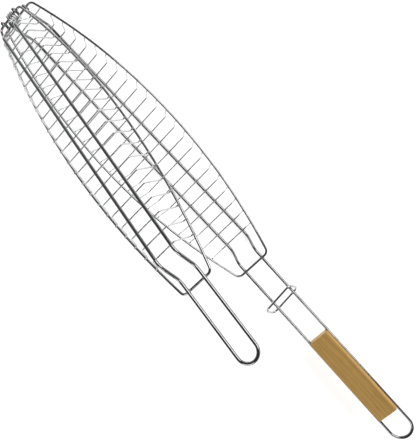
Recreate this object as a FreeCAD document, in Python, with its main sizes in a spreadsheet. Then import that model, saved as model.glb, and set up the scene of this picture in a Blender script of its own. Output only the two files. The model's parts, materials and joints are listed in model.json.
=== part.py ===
import FreeCAD, Part
import Sketcher

import math
import os

# Hinged wire grill basket for fish: a base tray with a long wooden-gripped handle, a
# smaller cover tray with a short handle, a coiled wire hinge at the nose and a sliding
# lock ring. Millimetres, +X from the nose to the handle, +Z up, base tray lying flat
# on its two handle wires. The origin is the middle of the bounding box's bottom.

DIMENSIONS = {
    # wire diameters
    "handle_wire": 3.5,
    "rim_wire": 2.8,
    "cross_wire": 1.6,
    "ring_wire": 2.5,
    "coil_wire": 1.8,
    # shared by both trays
    "tray_depth": 22.3,
    "nose_step": 6.5,
    "rear_ramp_start": 28.0,
    "rear_ramp_end": 12.0,
    "handle_rise_angle": 4.4,
    "side_run": 8.0,
    "side_flat": 3.0,
    # base tray
    "base_length": 393.0,
    "base_half_width": 51.0,
    "base_nose_half_width": 22.5,
    "base_tail_half_width": 22.5,
    "base_corner_radius": 7.0,
    "base_handle_half_spacing": 12.9,
    "base_handle_end": 640.0,
    "base_nose_ramp_end": 22.0,
    "base_first_wire": 13.0,
    "base_last_wire": 356.2,
    "base_wire_count": 23,
    # cover tray
    "cover_length": 386.0,
    "cover_half_width": 39.6,
    "cover_nose_half_width": 18.0,
    "cover_tail_half_width": 17.5,
    "cover_corner_radius": 5.0,
    "cover_handle_half_spacing": 10.4,
    "cover_handle_end": 468.4,
    "cover_nose_ramp_end": 38.5,
    "cover_first_wire": 27.0,
    "cover_last_wire": 350.0,
    "cover_wire_count": 22,
    "cover_side_offset": -6.3,
    "cover_opening": 20.1,
    # hinge coil round both nose bars
    "nose_bar_distance": 9.5,
    "coil_turns": 3.5,
    "coil_length": 11.0,
    "coil_middle": -4.4,
    # wooden grip
    "grip_start": 499.5,
    "grip_length": 109.5,
    "grip_width": 25.2,
    "grip_thickness": 17.0,
    "grip_edge_radius": 2.2,
    # lock ring
    "ring_position": 447.0,
    "ring_half_length": 20.5,
    "ring_height": 19.0,
    "ring_corner_radius": 6.0,
    "ring_lean": 37.0,
    "ring_turn": 7.0,
    "ring_side_offset": -1.6,
    # clearances
    "weld_gap": 0.03,
    "running_gap": 0.3,
}

doc = FreeCAD.newDocument("grill_basket")
sheet = doc.addObject("Spreadsheet::Sheet", "Dimensions")
for row, (alias, value) in enumerate(DIMENSIONS.items(), start=1):
    sheet.set(f"A{row}", alias)
    sheet.set(f"B{row}", str(value))
    sheet.setAlias(f"B{row}", alias)
doc.recompute()


def size(alias):
    """Value of one cell of the sheet."""
    return float(sheet.get(alias))


HANDLE_RADIUS = size("handle_wire") / 2
RIM_RADIUS = size("rim_wire") / 2
CROSS_RADIUS = size("cross_wire") / 2
RING_RADIUS = size("ring_wire") / 2
COIL_WIRE_RADIUS = size("coil_wire") / 2
WELD_GAP = size("weld_gap")
RUNNING_GAP = size("running_gap")

EYE_RADIUS = RIM_RADIUS + HANDLE_RADIUS + WELD_GAP
COIL_RADIUS = size("nose_bar_distance") / 2 + RIM_RADIUS + COIL_WIRE_RADIUS + RUNNING_GAP
OPENING = math.radians(size("cover_opening"))
HANDLE_RISE = math.radians(size("handle_rise_angle"))

# bend radii of the formed wires
NOSE_BEND = 4.0
FLOOR_BEND = 9.0
REAR_BEND = 13.0
SIDE_BEND = 2.4


# ---------------------------------------------------------------- frames of the two trays

# Half of the opening is the coil's swing about the base nose bar, half the cover's
# swing about its own nose bar.
COIL_TILT = OPENING / 2
COVER_NOSE_BACK = size("nose_bar_distance") * math.sin(COIL_TILT)
COVER_NOSE_UP = size("nose_bar_distance") * math.cos(COIL_TILT)

NOSE_REACH = max(COVER_NOSE_BACK / 2 + COIL_RADIUS + COIL_WIRE_RADIUS,
                 COVER_NOSE_BACK + EYE_RADIUS + HANDLE_RADIUS)
FULL_LENGTH = NOSE_REACH + size("base_handle_end") + HANDLE_RADIUS
NOSE_X = NOSE_REACH - FULL_LENGTH / 2
RIM_Z = size("tray_depth") + HANDLE_RADIUS


def base_point(u, v, h):
    """Base tray: u behind its nose bar, v across, h outward (down) from its rim plane."""
    return FreeCAD.Vector(NOSE_X + u, v, RIM_Z - h)


def cover_point(u, v, h):
    """Cover tray: the same, with h outward (up), swung open about its nose bar."""
    forward = u * math.cos(OPENING) - h * math.sin(OPENING)
    upward = u * math.sin(OPENING) + h * math.cos(OPENING)
    return FreeCAD.Vector(NOSE_X - COVER_NOSE_BACK + forward,
                          size("cover_side_offset") + v,
                          RIM_Z + COVER_NOSE_UP + upward)


# ---------------------------------------------------------------- formed wire

def bent_edges(corners, radii):
    """Straight runs through the corners, joined at the inner ones by tangent arcs."""
    edges = []
    start = corners[0]
    for corner, following, radius in zip(corners[1:], corners[2:], radii):
        arriving = (corner - start).normalize()
        leaving = (following - corner).normalize()
        turn = arriving.getAngle(leaving)
        setback = radius * math.tan(turn / 2)
        inward = (leaving - arriving).normalize()
        arc_start = corner - arriving * setback
        arc_middle = corner + inward * (radius / math.cos(turn / 2) - radius)
        arc_end = corner + leaving * setback
        edges.append(Part.LineSegment(start, arc_start).toShape())
        edges.append(Part.Arc(arc_start, arc_middle, arc_end).toShape())
        start = arc_end
    edges.append(Part.LineSegment(start, corners[-1]).toShape())
    return edges


def closed_edges(corners, radius):
    """Closed loop of straight runs and arcs, starting half way along its first run."""
    middle = (corners[0] + corners[1]) / 2
    loop = [middle] + corners[1:] + [corners[0], middle]
    return bent_edges(loop, [radius] * len(corners))


def swept_wire(label, edges, diameter):
    """Round wire of the sheet's named diameter along a path."""
    path = doc.addObject("Part::Feature", label + "_path")
    path.Shape = Part.Wire(edges)
    start = edges[0].valueAt(edges[0].FirstParameter)
    direction = edges[0].tangentAt(edges[0].FirstParameter)
    section = doc.addObject("Part::Circle", label + "_section")
    section.setExpression("Radius", f"Dimensions.{diameter} / 2")
    turn = FreeCAD.Rotation(FreeCAD.Vector(0, 0, 1), direction)
    section.Placement = FreeCAD.Placement(start, turn)
    wire = doc.addObject("Part::Sweep", label)
    wire.Label = label
    wire.Sections = [section]
    wire.Spine = (path, [f"Edge{number}" for number in range(1, len(edges) + 1)])
    wire.Solid = True
    return wire


# ---------------------------------------------------------------- leaf-shaped trays

class Tray:
    """One half of the basket: rim, handle wire and cross wires in its own u, v, h."""

    def __init__(self, name, point):
        self.name = name
        self.point = point
        self.length = self.size("length")
        self.half_spacing = self.size("handle_half_spacing")
        self.make_outline()
        self.make_profile()

    def size(self, word):
        return size(f"{self.name}_{word}")

    def make_outline(self):
        """Circle of each long side: through the two bar ends and the widest point."""
        nose, middle, tail = (FreeCAD.Vector(0, self.size("nose_half_width"), 0),
                              FreeCAD.Vector(self.length / 2, self.size("half_width"), 0),
                              FreeCAD.Vector(self.length, self.size("tail_half_width"), 0))
        circle = Part.Arc(nose, middle, tail).toShape().Curve
        self.side_centre = circle.Center
        self.side_radius = circle.Radius

    def half_width(self, u):
        """Distance from the middle line to the rim's centre line."""
        along = u - self.side_centre.x
        return self.side_centre.y + math.sqrt(self.side_radius ** 2 - along ** 2)

    def corner_arc(self, bar_u, inward):
        """Where a bar, its rounded corner and the long side meet: four u, v points."""
        radius = self.size("corner_radius")
        centre_u = bar_u + inward * radius
        reach = self.side_radius - radius
        centre_v = self.side_centre.y + math.sqrt(reach ** 2 - (centre_u - self.side_centre.x) ** 2)
        centre = FreeCAD.Vector(centre_u, centre_v, 0)
        to_side = (centre - self.side_centre).normalize()
        to_bar = FreeCAD.Vector(-inward, 0, 0)
        halfway = (to_side + to_bar).normalize()
        return [centre + way * radius for way in (to_bar, halfway, to_side)]

    def rim_edges(self):
        """Closed rim: nose bar, corner, side, corner, end bar and back."""
        nose = self.corner_arc(0, 1)
        tail = self.corner_arc(self.length, -1)
        widest = FreeCAD.Vector(self.side_centre.x, self.half_width(self.side_centre.x), 0)

        def place(flat, side):
            return self.point(flat.x, side * flat.y, 0)

        def arc(points, side):
            return Part.Arc(*[place(flat, side) for flat in points]).toShape()

        def line(first, last):
            return Part.LineSegment(first, last).toShape()

        nose_middle = self.point(0, 0, 0)
        side = [nose[2], widest, tail[2]]
        return [line(nose_middle, place(nose[0], 1)),
                arc(nose, 1), arc(side, 1), arc(tail[::-1], 1),
                line(place(tail[0], 1), place(tail[0], -1)),
                arc(tail, -1), arc(side[::-1], -1), arc(nose[::-1], -1),
                line(place(nose[0], -1), nose_middle)]

    def make_profile(self):
        """Side view of a handle wire: its corners in u and h, from the nose eye."""
        bar_level = RIM_RADIUS + HANDLE_RADIUS + WELD_GAP
        self.handle_level = bar_level / math.cos(HANDLE_RISE)
        depth = size("tray_depth")
        rise = math.tan(HANDLE_RISE)
        ramp_end = size("rear_ramp_end")
        self.profile = [(0, -EYE_RADIUS),
                        (size("nose_step"), -EYE_RADIUS),
                        (self.size("nose_ramp_end"), depth),
                        (self.length - size("rear_ramp_start"), depth),
                        (self.length - ramp_end, self.handle_level + ramp_end * rise)]

    def handle_point(self, along, v):
        """Point of the straight handle, measured along it from the end bar."""
        return self.point(self.length + along * math.cos(HANDLE_RISE), v,
                          self.handle_level - along * math.sin(HANDLE_RISE))

    def handle_edges(self):
        """One wire: eye round the nose bar, floor, rear ramp, end loop and back."""
        loop_radius = self.half_spacing
        reach = (self.size("handle_end") - self.length) / math.cos(HANDLE_RISE)
        loop_start = reach - loop_radius
        sides = []
        for v in (self.half_spacing, -self.half_spacing):
            eye = [self.point(EYE_RADIUS * math.sin(turn), v, EYE_RADIUS * math.cos(turn))
                   for turn in (math.radians(45), math.radians(-67.5), math.radians(-180))]
            corners = [self.point(u, v, h) for u, h in self.profile]
            corners.append(self.handle_point(loop_start, v))
            bends = [NOSE_BEND, FLOOR_BEND, REAR_BEND, REAR_BEND]
            sides.append([Part.Arc(*eye).toShape()] + bent_edges(corners, bends))
        loop = Part.Arc(self.handle_point(loop_start, self.half_spacing),
                        self.handle_point(reach, 0),
                        self.handle_point(loop_start, -self.half_spacing)).toShape()
        return Part.__sortEdges__(sides[0] + [loop] + sides[1])

    def handle_wire_at(self, u):
        """Depth of the handle wires at u, and the slope they have there."""
        for (u_0, h_0), (u_1, h_1) in zip(self.profile, self.profile[1:]):
            if u_0 <= u <= u_1:
                slope = (h_1 - h_0) / (u_1 - u_0)
                return h_0 + slope * (u - u_0), math.atan(slope)
        raise ValueError(f"{self.name} has no floor at {u}")

    def cross_edges(self, u):
        """Cross wire: short flats under the rim, steep sides, floor on the handle wires."""
        rim_v = self.half_width(u)
        rim_h = RIM_RADIUS + CROSS_RADIUS + WELD_GAP
        wire_h, slope = self.handle_wire_at(u)
        floor_h = wire_h - (HANDLE_RADIUS + CROSS_RADIUS + WELD_GAP) / math.cos(slope)
        flat_v = rim_v - size("side_flat")
        floor_v = max(flat_v - size("side_run"), self.half_spacing + CROSS_RADIUS)
        tip_v = rim_v + CROSS_RADIUS
        right = [(tip_v, rim_h), (flat_v, rim_h), (floor_v, floor_h)]
        left = [(-v, h) for v, h in reversed(right)]
        corners = [self.point(u, v, h) for v, h in right + left]
        return bent_edges(corners, [SIDE_BEND] * 4)

    def build(self):
        """All wires of this tray; returns the objects that are written out."""
        made = [swept_wire(f"{self.name}_rim", self.rim_edges(), "rim_wire"),
                swept_wire(f"{self.name}_handle_wire", self.handle_edges(), "handle_wire")]
        count = int(self.size("wire_count"))
        first = self.size("first_wire")
        pitch = (self.size("last_wire") - first) / (count - 1)
        for number in range(count):
            label = f"{self.name}_cross_wire_{number + 1:02d}"
            made.append(swept_wire(label, self.cross_edges(first + number * pitch), "cross_wire"))
        return made


# ---------------------------------------------------------------- hinge coil

def build_hinge_coil():
    """Loosely wound wire round both nose bars, between the handle wires' eyes."""
    helix = doc.addObject("Part::Helix", "hinge_coil_path")
    helix.setExpression("Pitch", "Dimensions.coil_length / Dimensions.coil_turns")
    helix.setExpression("Height", "Dimensions.coil_length")
    helix.setExpression("Radius", "Dimensions.nose_bar_distance / 2 + Dimensions.rim_wire / 2"
                                  " + Dimensions.coil_wire / 2 + Dimensions.running_gap")
    along_y = FreeCAD.Rotation(FreeCAD.Vector(1, 0, 0), -90)
    start = FreeCAD.Vector(NOSE_X - COVER_NOSE_BACK / 2,
                           size("coil_middle") - size("coil_length") / 2,
                           RIM_Z + COVER_NOSE_UP / 2)
    helix.Placement = FreeCAD.Placement(start, along_y)
    doc.recompute()
    first = helix.Shape.Edges[0]
    section = doc.addObject("Part::Circle", "hinge_coil_section")
    section.setExpression("Radius", "Dimensions.coil_wire / 2")
    turn = FreeCAD.Rotation(FreeCAD.Vector(0, 0, 1), first.tangentAt(first.FirstParameter))
    section.Placement = FreeCAD.Placement(first.valueAt(first.FirstParameter), turn)
    coil = doc.addObject("Part::Sweep", "hinge_coil")
    coil.Label = "hinge_coil"
    coil.Sections = [section]
    coil.Spine = (helix, [f"Edge{number + 1}" for number in range(len(helix.Shape.Edges))])
    coil.Solid = True
    coil.Frenet = True
    return coil


# ---------------------------------------------------------------- lock ring

def build_lock_ring(base):
    """Rounded link round both handle wires, leaning towards the nose and a little askew."""
    along = (size("ring_position") - base.length) / math.cos(HANDLE_RISE)
    lean = math.radians(size("ring_lean")) - HANDLE_RISE
    turn = math.radians(size("ring_turn"))
    upward = FreeCAD.Vector(-math.sin(lean), 0, math.cos(lean))
    foot = base.handle_point(along, size("ring_side_offset"))
    foot -= FreeCAD.Vector(0, 0, (HANDLE_RADIUS + RING_RADIUS + RUNNING_GAP) / math.cos(HANDLE_RISE))
    slope = FreeCAD.Vector(math.cos(HANDLE_RISE), 0, math.sin(HANDLE_RISE))
    across = (FreeCAD.Vector(0, math.cos(turn), 0) - slope * math.sin(turn)) * size("ring_half_length")
    top = foot + upward * size("ring_height")
    corners = [foot - across, foot + across, top + across, top - across]
    return swept_wire("lock_ring", closed_edges(corners, size("ring_corner_radius")), "ring_wire")


# ---------------------------------------------------------------- wooden grip

def origin_plane(body, role):
    """One of a body's own origin planes."""
    return next(plane for plane in body.Origin.OriginFeatures if plane.Role == role)


def build_grip(base):
    """Rectangular block between the handle wires, which lie in grooves in its sides."""
    body = doc.addObject("PartDesign::Body", "wood_grip")
    body.Label = "wood_grip"

    block = body.newObject("Sketcher::SketchObject", "grip_section")
    block.AttachmentSupport = [(origin_plane(body, "YZ_Plane"), "")]
    block.MapMode = "FlatFace"
    half_width, half_thickness = size("grip_width") / 2, size("grip_thickness") / 2
    corners = [FreeCAD.Vector(x * half_width, y * half_thickness, 0)
               for x, y in ((-1, -1), (1, -1), (1, 1), (-1, 1))]
    for first, last in zip(corners, corners[1:] + corners[:1]):
        block.addGeometry(Part.LineSegment(first, last), False)
    for side in range(4):
        block.addConstraint(Sketcher.Constraint("Coincident", side, 2, (side + 1) % 4, 1))
    for side in (0, 2):
        block.addConstraint(Sketcher.Constraint("Horizontal", side))
    for side in (1, 3):
        block.addConstraint(Sketcher.Constraint("Vertical", side))
    block.addConstraint(Sketcher.Constraint("Symmetric", 0, 1, 2, 1, -1, 1))
    width = block.addConstraint(Sketcher.Constraint("DistanceX", 0, 1, 0, 2, 2 * half_width))
    thickness = block.addConstraint(Sketcher.Constraint("DistanceY", 1, 1, 1, 2, 2 * half_thickness))
    block.setExpression(f"Constraints[{width}]", "Dimensions.grip_width")
    block.setExpression(f"Constraints[{thickness}]", "Dimensions.grip_thickness")
    pad = body.newObject("PartDesign::Pad", "grip_block")
    pad.Profile = block
    pad.setExpression("Length", "Dimensions.grip_length")
    doc.recompute()

    long_edges = [f"Edge{number}" for number, edge in enumerate(pad.Shape.Edges, start=1)
                  if abs(edge.tangentAt(edge.FirstParameter).x) > 0.99]
    rounded = body.newObject("PartDesign::Fillet", "grip_rounding")
    rounded.Base = (pad, long_edges)
    rounded.setExpression("Radius", "Dimensions.grip_edge_radius")
    doc.recompute()

    grooves = body.newObject("Sketcher::SketchObject", "groove_section")
    grooves.AttachmentSupport = [(origin_plane(body, "YZ_Plane"), "")]
    grooves.MapMode = "FlatFace"
    groove_radius = HANDLE_RADIUS + WELD_GAP
    for side in (-1, 1):
        centre = FreeCAD.Vector(side * base.half_spacing, 0, 0)
        circle = grooves.addGeometry(Part.Circle(centre, FreeCAD.Vector(0, 0, 1), groove_radius), False)
        radius = grooves.addConstraint(Sketcher.Constraint("Radius", circle, groove_radius))
        grooves.setExpression(f"Constraints[{radius}]", "Dimensions.handle_wire / 2 + Dimensions.weld_gap")
        grooves.addConstraint(Sketcher.Constraint("PointOnObject", circle, 3, -1))
        centre_x = grooves.addConstraint(
            Sketcher.Constraint("DistanceX", -1, 1, circle, 3, side * base.half_spacing))
        sign = "" if side > 0 else "-"
        grooves.setExpression(f"Constraints[{centre_x}]", f"{sign}Dimensions.base_handle_half_spacing")
    cut = body.newObject("PartDesign::Pocket", "grip_grooves")
    cut.Profile = grooves
    cut.Type = "ThroughAll"
    cut.Midplane = True
    doc.recompute()
    if cut.Shape.Volume > rounded.Shape.Volume - 1:
        raise RuntimeError("the grip's grooves cut nothing")

    along = (size("grip_start") - base.length) / math.cos(HANDLE_RISE)
    turn = FreeCAD.Rotation(FreeCAD.Vector(0, 1, 0), -math.degrees(HANDLE_RISE))
    body.Placement = FreeCAD.Placement(base.handle_point(along, 0), turn)
    return body


# ---------------------------------------------------------------- assembly

base_tray = Tray("base", base_point)
cover_tray = Tray("cover", cover_point)
pieces = base_tray.build() + cover_tray.build()
pieces += [build_hinge_coil(), build_lock_ring(base_tray), build_grip(base_tray)]
doc.recompute()

for item in doc.Objects:
    if "Invalid" in item.State or "Error" in item.State:
        raise RuntimeError(f"{item.Label} failed: {item.State}")
for piece in pieces:
    if piece.Shape.isNull() or not piece.Shape.isValid() or len(piece.Shape.Solids) != 1:
        raise RuntimeError(f"{piece.Label} is not one valid solid")

os.makedirs("parts", exist_ok=True)
for piece in pieces:
    piece.Shape.exportStep(f"parts/{piece.Label}.step")

box = FreeCAD.BoundBox()
for piece in pieces:
    box.add(piece.Shape.optimalBoundingBox())
print(f"{len(pieces)} pieces, box {box.XMin:.2f} {box.XMax:.2f}  {box.YMin:.2f} {box.YMax:.2f}"
      f"  {box.ZMin:.2f} {box.ZMax:.2f}")
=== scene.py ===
import json
import math
import random

import bmesh
import bpy
from mathutils import Matrix, Vector, noise
from mathutils.bvhtree import BVHTree
from mathutils.geometry import intersect_ray_tri


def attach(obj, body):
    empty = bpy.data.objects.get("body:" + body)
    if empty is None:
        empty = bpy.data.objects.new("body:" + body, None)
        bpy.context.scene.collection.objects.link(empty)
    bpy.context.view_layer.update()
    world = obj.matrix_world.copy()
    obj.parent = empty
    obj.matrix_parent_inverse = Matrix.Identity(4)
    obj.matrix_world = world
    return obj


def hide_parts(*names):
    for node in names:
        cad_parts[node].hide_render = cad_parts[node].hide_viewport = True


# Looks of the hinged wire grill basket: chrome-plated wires, the welds where they cross,
# the wooden grip, and a plain white studio. Metres throughout.

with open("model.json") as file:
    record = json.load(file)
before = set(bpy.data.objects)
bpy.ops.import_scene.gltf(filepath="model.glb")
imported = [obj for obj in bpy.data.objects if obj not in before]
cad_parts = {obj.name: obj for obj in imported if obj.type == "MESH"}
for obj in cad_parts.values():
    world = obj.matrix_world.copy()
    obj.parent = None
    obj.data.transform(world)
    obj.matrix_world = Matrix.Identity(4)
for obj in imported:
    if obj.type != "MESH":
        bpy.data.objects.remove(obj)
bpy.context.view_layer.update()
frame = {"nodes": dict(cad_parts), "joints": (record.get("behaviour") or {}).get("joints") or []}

MM = 0.001
HANDLE_WIRE_RADIUS = 1.75 * MM
HANDLE_WIRE_SIDE = 12.9 * MM  # from the grip's middle plane to the middle of either handle wire


# ---------------------------------------------------------------- helpers

def new_material(name):
    """Material with only a Principled shader and its output; returns it and the shader."""
    material = bpy.data.materials.new(name)
    material.use_nodes = True
    nodes = material.node_tree.nodes
    nodes.clear()
    output = nodes.new("ShaderNodeOutputMaterial")
    shader = nodes.new("ShaderNodeBsdfPrincipled")
    material.node_tree.links.new(shader.outputs["BSDF"], output.inputs["Surface"])
    return material, shader


class Graph:
    """Short names for the nodes that the materials and the world are made of."""

    def __init__(self, owner):
        self.tree = owner.node_tree

    def link(self, source, target):
        self.tree.links.new(source, target)

    def node(self, kind, **settings):
        made = self.tree.nodes.new(kind)
        for key, value in settings.items():
            setattr(made, key, value)
        return made

    def place(self, scale, turn=(0, 0, 0)):
        """Position on the piece, turned; a scale under 1 draws the pattern out along that axis."""
        mapping = self.node("ShaderNodeMapping", vector_type="TEXTURE")
        mapping.inputs["Rotation"].default_value = turn
        mapping.inputs["Scale"].default_value = [1 / s for s in scale]
        self.link(self.node("ShaderNodeTexCoord").outputs["Object"], mapping.inputs["Vector"])
        return mapping.outputs["Vector"]

    def noise(self, where, scale, detail, rough):
        made = self.node("ShaderNodeTexNoise")
        self.link(where, made.inputs["Vector"])
        for key, value in (("Scale", scale), ("Detail", detail), ("Roughness", rough)):
            made.inputs[key].default_value = value
        return made.outputs["Fac"]

    def ramp(self, value, stops):
        """Colours between the given positions."""
        made = self.node("ShaderNodeValToRGB")
        elements = made.color_ramp.elements
        while len(elements) < len(stops):
            elements.new(0.5)
        for element, (position, colour) in zip(elements, stops):
            element.position = position
            element.color = (*colour, 1)
        self.link(value, made.inputs["Fac"])
        return made.outputs["Color"]

    def remap(self, value, low, high, start, end):
        """low where value is start, high where it is end, and a straight line between."""
        made = self.node("ShaderNodeMapRange")
        self.link(value, made.inputs["Value"])
        for key, number in (("From Min", start), ("From Max", end), ("To Min", low), ("To Max", high)):
            made.inputs[key].default_value = number
        return made.outputs["Result"]

    def mix(self, amount, first, second):
        """first where amount is 0 and the colour second where it is 1; first may be a socket."""
        made = self.node("ShaderNodeMix", data_type="RGBA")
        self.link(amount, made.inputs[0])
        first_socket, second_socket = [socket for socket in made.inputs if socket.type == "RGBA"]
        if isinstance(first, bpy.types.NodeSocket):
            self.link(first, first_socket)
        else:
            first_socket.default_value = (*first, 1)
        second_socket.default_value = (*second, 1)
        return next(socket for socket in made.outputs if socket.type == "RGBA")

    def bump(self, height, distance, strength, under=None):
        made = self.node("ShaderNodeBump")
        made.inputs["Distance"].default_value = distance
        made.inputs["Strength"].default_value = strength
        self.link(height, made.inputs["Height"])
        if under is not None:
            self.link(under, made.inputs["Normal"])
        return made.outputs["Normal"]


def grey(value, warmth=0.0):
    return (value * (1 + warmth), value, value * (1 - warmth))


def add_object(name, data):
    made = bpy.data.objects.new(name, data)
    bpy.context.scene.collection.objects.link(made)
    return made


def add_piece(name, bm, material):
    """Turns a bmesh into an object with one material, and frees it."""
    mesh = bpy.data.meshes.new(name)
    bm.to_mesh(mesh)
    bm.free()
    mesh.materials.append(material)
    return add_object(name, mesh)


# ---------------------------------------------------------------- chrome

# Stretches of a pattern: none, along the wires that run from nose to handle, along the cross
# wires, and for a coil, which runs every way.
AS_IS = (1, 1, 1)
ALONG_X = (0.03, 1, 1)
ALONG_Y = (1, 0.03, 1)
EVERY_WAY = (0.5, 0.5, 0.5)

# How fine each pattern is, as noise scales per metre.
DIE_LINES = 900.0
PLATING_PITS = 2600.0
PLATING_CLOUD = 70.0
CROSS_WIRE_CLOUD = 110.0
WELD_LUMPS = 900.0


def chrome(name, stretch, bright, rough, cloud=PLATING_CLOUD):
    """Plated drawn wire: die lines along the wire, cloudy plating, faint pits."""
    material, shader = new_material(name)
    g = Graph(material)
    here = g.place(AS_IS)
    along = g.place(stretch)
    plating = g.noise(here, cloud, 4.0, 0.6)
    lines = g.noise(along, DIE_LINES, 3.0, 0.6)
    pits = g.noise(here, PLATING_PITS, 2.0, 0.5)
    tone = g.ramp(plating, [(0.30, grey(bright * 0.80, 0.012)), (0.5, grey(bright)),
                            (0.72, grey(bright * 1.12, -0.01))])
    streaked = g.mix(g.remap(lines, 0.0, 0.35, 0.45, 0.75), tone, grey(bright * 0.55, 0.02))
    g.link(streaked, shader.inputs["Base Color"])
    g.link(g.remap(plating, rough * 0.7, rough * 1.6, 0.3, 0.75), shader.inputs["Roughness"])
    lined = g.bump(lines, 0.03 * MM, 0.6)
    g.link(g.bump(pits, 0.02 * MM, 0.35, lined), shader.inputs["Normal"])
    shader.inputs["Metallic"].default_value = 1.0
    return material


def weld_metal():
    """Weld beads under the plating: duller, lumpier and a little darker than the wire."""
    material, shader = new_material("weld_metal")
    g = Graph(material)
    lumps = g.noise(g.place(AS_IS), WELD_LUMPS, 4.0, 0.65)
    tone = g.ramp(lumps, [(0.32, grey(0.20, 0.05)), (0.55, grey(0.38, 0.02)), (0.75, grey(0.55))])
    g.link(tone, shader.inputs["Base Color"])
    g.link(g.remap(lumps, 0.45, 0.22, 0.3, 0.75), shader.inputs["Roughness"])
    g.link(g.bump(lumps, 0.12 * MM, 0.8), shader.inputs["Normal"])
    shader.inputs["Metallic"].default_value = 1.0
    return material


# The same chrome plating gets a different base brightness on each kind of wire, set by how its reflections
# look rather than by the plating: painted shade on the handle wires, which are made darkest, and painted
# highlight on the cross wires, which are made lightest.
CHROME_OF = {
    "handle_wire": chrome("handle_chrome", ALONG_X, 0.36, 0.09),
    "rim": chrome("rim_chrome", ALONG_X, 0.46, 0.13),
    "cross_wire": chrome("cross_chrome", ALONG_Y, 0.74, 0.27, CROSS_WIRE_CLOUD),
    "hinge_coil": chrome("coil_chrome", EVERY_WAY, 0.56, 0.18),
    "lock_ring": chrome("ring_chrome", ALONG_Y, 0.58, 0.12),
}
for name, node in frame["nodes"].items():
    for word, material in CHROME_OF.items():
        if word in name:
            node.data.materials.clear()
            node.data.materials.append(material)


# ---------------------------------------------------------------- welds

WELD_REACH = 0.12 * MM  # wires closer than this are welded
WELD_SPACING = 5 * MM  # touching points closer than this share a bead
THIN_BEAD = (1.5 * MM, 1.4 * MM, 0.72 * MM)  # a cross wire on a rim or handle wire
THICK_BEAD = (2.3 * MM, 2.2 * MM, 1.0 * MM)  # a handle wire on the rim
BEAD_SPREAD = (0.92, 1.1)
BEAD_LUMPS = 0.13
BEAD_WAIST = 0.18


def wire_mesh(node, grow=0.0):
    """A wire's points, moved out by grow, its triangles, and a tree of them."""
    mesh = node.data
    mesh.calc_loop_triangles()
    points = [v.co + v.normal * grow for v in mesh.vertices]
    faces = [tuple(t.vertices) for t in mesh.loop_triangles]
    return points, faces, BVHTree.FromPolygons(points, faces)


def longest_edge(corners):
    """Unit direction of a triangle's longest edge, which runs along its wire."""
    edges = [corners[1] - corners[0], corners[2] - corners[1], corners[0] - corners[2]]
    return max(edges, key=lambda edge: edge.length).normalized()


def edge_hits(edges_of, target):
    """Points where the edges of one triangle pass through another."""
    for start, end in zip(edges_of, edges_of[1:] + edges_of[:1]):
        run = end - start
        hit = intersect_ray_tri(*target, run, start, True)
        if hit is not None and (hit - start).length <= run.length and (hit - start).dot(run) >= 0:
            yield hit


def crossings(node, other):
    """Where a wire meets another wire's mesh: the point, and the directions of both wires."""
    points, faces, tree = wire_mesh(node, WELD_REACH)
    other_points, other_faces, other_tree = other
    groups = []
    for i, j in tree.overlap(other_tree):
        mine = [points[k] for k in faces[i]]
        theirs = [other_points[k] for k in other_faces[j]]
        for hit in (*edge_hits(mine, theirs), *edge_hits(theirs, mine)):
            for group in groups:
                if (group[0][0] - hit).length < WELD_SPACING:
                    group.append((hit, mine, theirs))
                    break
            else:
                groups.append([(hit, mine, theirs)])
    for group in groups:
        middle = sum((hit for hit, _, _ in group), Vector()) / len(group)
        _, mine, theirs = group[0]
        yield middle, longest_edge(mine), longest_edge(theirs)


def weld_bead(bm, middle, along, across, size, rng):
    """Uneven lump where two wires cross, flattened between them."""
    up = along.cross(across).normalized()
    side = up.cross(along).normalized()
    turn = Matrix((along, side, up)).transposed().to_4x4()
    turn.translation = middle
    radii = [radius * rng.uniform(*BEAD_SPREAD) for radius in size]
    offset = Vector((rng.uniform(0, 90), rng.uniform(0, 90), rng.uniform(0, 90)))
    ball = bmesh.ops.create_uvsphere(bm, u_segments=16, v_segments=9, radius=1.0)
    for vertex in ball["verts"]:
        shape = vertex.co.copy()
        lump = 1 + BEAD_LUMPS * noise.noise(shape * 1.6 + offset)
        waist = 1 - BEAD_WAIST * math.cos(2 * math.atan2(shape.y, shape.x)) ** 2
        vertex.co = turn @ Vector((shape.x * radii[0] * lump * waist,
                                   shape.y * radii[1] * lump * waist,
                                   shape.z * radii[2] * lump))


def weld_tray(tray, seed, metal):
    """Every weld of one tray, as one piece that moves with it."""
    rng = random.Random(seed)
    nodes = frame["nodes"]
    handle = nodes[f"{tray}_handle_wire"]
    rim_mesh = wire_mesh(nodes[f"{tray}_rim"])
    cross_wires = [nodes[name] for name in sorted(nodes) if name.startswith(f"{tray}_cross_wire")]
    bm = bmesh.new()
    for thick_mesh in (rim_mesh, wire_mesh(handle)):
        for cross_wire in cross_wires:
            for middle, along, across in crossings(cross_wire, thick_mesh):
                weld_bead(bm, middle, along, across, THIN_BEAD, rng)
    for middle, along, across in crossings(handle, rim_mesh):
        # In the nose half the handle wire only hooks round the rim's nose bar.
        if middle.x > 0:
            weld_bead(bm, middle, along, across, THICK_BEAD, rng)
    for face in bm.faces:
        face.smooth = True
    welds = add_piece(f"{tray}_welds", bm, metal)
    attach(welds, f"{tray}_tray")


weld_metal_material = weld_metal()
weld_tray("base", 11, weld_metal_material)
weld_tray("cover", 12, weld_metal_material)


# ---------------------------------------------------------------- wooden grip

# The grip lies along the handle, which the lock ring slides along.
slide = next(joint for joint in frame["joints"] if joint["name"] == "ring_slide")
GRIP_ALONG = Vector(slide["axis"]).normalized()
GRIP_ACROSS = Vector((0, 1, 0))
GRIP_UP = GRIP_ALONG.cross(GRIP_ACROSS).normalized()
GRIP_TURN = Matrix((GRIP_ALONG, GRIP_ACROSS, GRIP_UP)).transposed()

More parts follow.
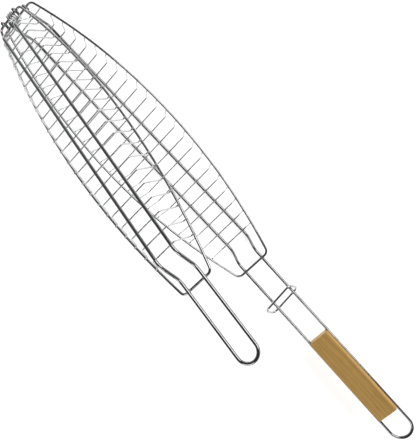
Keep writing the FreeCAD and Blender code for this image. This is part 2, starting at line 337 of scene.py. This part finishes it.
EDGE_RADIUS = 2.2 * MM
EDGE_STEPS = 6
END_RADIUS = 0.9 * MM
END_STEPS = 5
FACE_STEPS = 9
SIDE_STEPS = 4
GROOVE_GAP = 0.03 * MM
GROOVE_STEPS = 8
ROW_PITCH = 1.6 * MM
SANDED = 0.10 * MM  # deepest that the faces are worn in


def grip_outline(half_width, half_thickness):
    """Right half of the grip's section, bottom to top: rounded edges and a wire groove."""
    edge_v = half_width - EDGE_RADIUS
    edge_w = -half_thickness + EDGE_RADIUS
    below = [(step / FACE_STEPS * edge_v, -half_thickness) for step in range(FACE_STEPS)]
    for step in range(EDGE_STEPS + 1):
        turn = math.radians(-90 + step / EDGE_STEPS * 90)
        below.append((edge_v + EDGE_RADIUS * math.cos(turn), edge_w + EDGE_RADIUS * math.sin(turn)))
    groove = HANDLE_WIRE_RADIUS + GROOVE_GAP
    # The lips of the groove stand a little past the side face and wrap the wire.
    opening = math.acos((half_width - HANDLE_WIRE_SIDE) / groove)
    lip_w = -groove * math.sin(opening)
    below += [(half_width, edge_w + step / SIDE_STEPS * (lip_w - edge_w)) for step in range(1, SIDE_STEPS)]
    inside = []
    for step in range(GROOVE_STEPS + 1):
        turn = -opening + step / GROOVE_STEPS * 2 * opening
        inside.append((HANDLE_WIRE_SIDE - groove * math.cos(turn), groove * math.sin(turn)))
    return below + inside + [(v, -w) for v, w in reversed(below)]


def grip_rows(length):
    """Places along the grip, with how far the section is drawn in there by the rounded ends."""
    ends = []
    for step in range(END_STEPS + 1):
        turn = math.radians(step / END_STEPS * 90)
        ends.append((END_RADIUS * (1 - math.cos(turn)), END_RADIUS * (1 - math.sin(turn))))
    straight = length - 2 * END_RADIUS
    count = int(straight / ROW_PITCH)
    middle = [(END_RADIUS + step / count * straight, 0.0) for step in range(1, count)]
    return ends + middle + [(length - x, inset) for x, inset in reversed(ends)]


def build_grip():
    """Block of wood with worn edges, softened ends and faintly uneven faces."""
    local = [GRIP_TURN.transposed() @ v.co for v in frame["nodes"]["wood_grip"].data.vertices]
    low = Vector(min(p[k] for p in local) for k in range(3))
    high = Vector(max(p[k] for p in local) for k in range(3))
    middle = (low + high) / 2
    length, width, thickness = high - low
    right = grip_outline(width / 2, thickness / 2)
    outline = right + [(-v, w) for v, w in reversed(right) if v > 1e-6]
    start = Vector((low.x, middle.y, middle.z))
    bm = bmesh.new()
    rings = []
    for x, inset in grip_rows(length):
        ring = []
        for v, w in outline:
            point = Vector((x, v * (1 - inset / (width / 2)), w * (1 - inset / (thickness / 2))))
            wave = noise.noise(Vector((x * 22, v * 60, w * 60)))
            sanded = 1 - SANDED * (0.5 + 0.5 * wave) / (thickness / 2)
            point.y *= sanded
            point.z *= sanded
            ring.append(bm.verts.new(GRIP_TURN @ (start + point)))
        rings.append(ring)
    for first, second in zip(rings, rings[1:]):
        for k, corner in enumerate(first):
            after = (k + 1) % len(first)
            bm.faces.new((corner, first[after], second[after], second[k]))
    bm.faces.new(list(reversed(rings[0])))
    bm.faces.new(rings[-1])
    for face in bm.faces:
        face.smooth = len(face.verts) == 4
    bmesh.ops.recalc_face_normals(bm, faces=bm.faces)
    grip = add_piece("grip_wood", bm, wood())
    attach(grip, "base_tray")
    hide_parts("wood_grip")


EARLY_WOOD = (0.66, 0.387, 0.094)
LATE_WOOD = (0.53, 0.290, 0.062)
DRIFT_WOOD = (0.57, 0.320, 0.072)
FIBRE_WOOD = (0.33, 0.165, 0.036)
PORE_WOOD = (0.15, 0.062, 0.018)
WORN_WOOD = (0.68, 0.420, 0.122)
HEART = (0, -0.021, 0.034)  # from the grip to the middle of the growth rings


def wood():
    """Oiled pale hardwood: long grain, growth rings on the ends, pores and handling marks."""
    material, shader = new_material("grip_wood")
    g = Graph(material)
    turn = (0, -math.atan2(GRIP_ALONG.z, GRIP_ALONG.x), 0)
    here = g.place(AS_IS, turn)
    long = g.place((0.07, 1, 1), turn)
    longer = g.place((0.025, 1, 1), turn)
    drift = g.noise(long, 60.0, 3.0, 0.5)
    rings = g.node("ShaderNodeTexWave", wave_type="RINGS", rings_direction="X", wave_profile="SIN")
    shifted = g.node("ShaderNodeVectorMath", operation="ADD")
    g.link(long, shifted.inputs[0])
    shifted.inputs[1].default_value = HEART
    g.link(shifted.outputs["Vector"], rings.inputs["Vector"])
    for key, value in (("Scale", 190.0), ("Distortion", 5.0), ("Detail", 3.0), ("Detail Scale", 1.6)):
        rings.inputs[key].default_value = value
    fibres = g.noise(longer, 1500.0, 4.0, 0.65)
    pores = g.noise(longer, 3200.0, 2.0, 0.5)
    cloud = g.noise(here, 28.0, 3.0, 0.5)

    grain = g.mix(g.remap(rings.outputs["Fac"], 0.0, 0.75, 0.25, 1.0), EARLY_WOOD, LATE_WOOD)
    grain = g.mix(g.remap(drift, 0.0, 0.45, 0.35, 0.75), grain, DRIFT_WOOD)
    grain = g.mix(g.remap(fibres, 0.0, 0.34, 0.5, 0.78), grain, FIBRE_WOOD)
    grain = g.mix(g.remap(pores, 0.0, 0.55, 0.60, 0.72), grain, PORE_WOOD)
    grain = g.mix(g.remap(cloud, 0.0, 0.30, 0.45, 0.8), grain, WORN_WOOD)
    g.link(grain, shader.inputs["Base Color"])
    g.link(g.remap(fibres, 0.42, 0.62, 0.3, 0.75), shader.inputs["Roughness"])
    raised = g.bump(fibres, 0.10 * MM, 0.5)
    g.link(g.bump(pores, 0.08 * MM, 0.6, raised), shader.inputs["Normal"])
    shader.inputs["Coat Weight"].default_value = 0.12
    shader.inputs["Coat Roughness"].default_value = 0.35
    return material


build_grip()


# ---------------------------------------------------------------- studio

FLOOR_HALF = 2.5
FLOOR_DROP = 0.2 * MM  # keeps the floor clear of the wires that rest on it


def build_floor():
    """White floor that gives off a little light, so that it stays white up to the basket."""
    material, shader = new_material("studio_white")
    shader.inputs["Base Color"].default_value = (0.93, 0.93, 0.93, 1)
    shader.inputs["Roughness"].default_value = 0.9
    shader.inputs["Emission Color"].default_value = (1, 1, 1, 1)
    shader.inputs["Emission Strength"].default_value = 0.62
    mesh = bpy.data.meshes.new("studio_floor")
    corners = [(x * FLOOR_HALF, y * FLOOR_HALF, 0) for x, y in ((-1, -1), (1, -1), (1, 1), (-1, 1))]
    mesh.from_pydata(corners, [], [(0, 1, 2, 3)])
    mesh.materials.append(material)
    floor = add_object("studio_floor", mesh)
    floor.location.z = -FLOOR_DROP


def area_light(name, place, size, power):
    """Rectangular softbox that faces the middle of the basket's underside."""
    light = bpy.data.lights.new(name, "AREA")
    light.shape = "RECTANGLE"
    light.size, light.size_y = size
    light.energy = power
    lamp = add_object(name, light)
    lamp.location = place
    lamp.rotation_mode = "QUATERNION"
    lamp.rotation_quaternion = (-Vector(place)).to_track_quat("-Z", "Y")


def studio_air():
    """Dim room: darkest overhead, a little lighter towards the horizon."""
    world = bpy.data.worlds.new("studio_air")
    world.use_nodes = True
    g = Graph(world)
    height = g.node("ShaderNodeSeparateXYZ")
    g.link(g.node("ShaderNodeTexCoord").outputs["Generated"], height.inputs["Vector"])
    shade = g.ramp(height.outputs["Z"], [(0.05, (0.34, 0.35, 0.37)), (0.75, (0.055, 0.057, 0.06))])
    g.link(shade, world.node_tree.nodes["Background"].inputs["Color"])
    bpy.context.scene.world = world


build_floor()
area_light("key_light", (-0.25, 1.7, 1.45), (2.0, 1.2), 27)
area_light("fill_light", (0.9, -1.5, 1.5), (1.6, 1.2), 17)
studio_air()
bpy.context.scene.view_settings.view_transform = "Standard"


# ---------------------------------------------------------------- camera

# Unit vectors to the right and upwards in the picture, and where the camera stands.
CAMERA_RIGHT = Vector((0.68529, 0.68793, -0.23902))
CAMERA_UP = Vector((-0.72738, 0.66277, -0.17794))
CAMERA_PLACE = (0.02968, 0.1749, 0.60642)

camera_data = bpy.data.cameras.new("camera")
camera_data.sensor_width = 36.0
camera_data.lens = 43.2
camera_data.clip_start, camera_data.clip_end = 0.01, 30
camera = add_object("camera", camera_data)
camera.rotation_mode = "QUATERNION"
camera_axes = Matrix((CAMERA_RIGHT, CAMERA_UP, CAMERA_RIGHT.cross(CAMERA_UP))).transposed()
camera.rotation_quaternion = camera_axes.to_quaternion()
camera.location = CAMERA_PLACE
bpy.context.scene.camera = camera
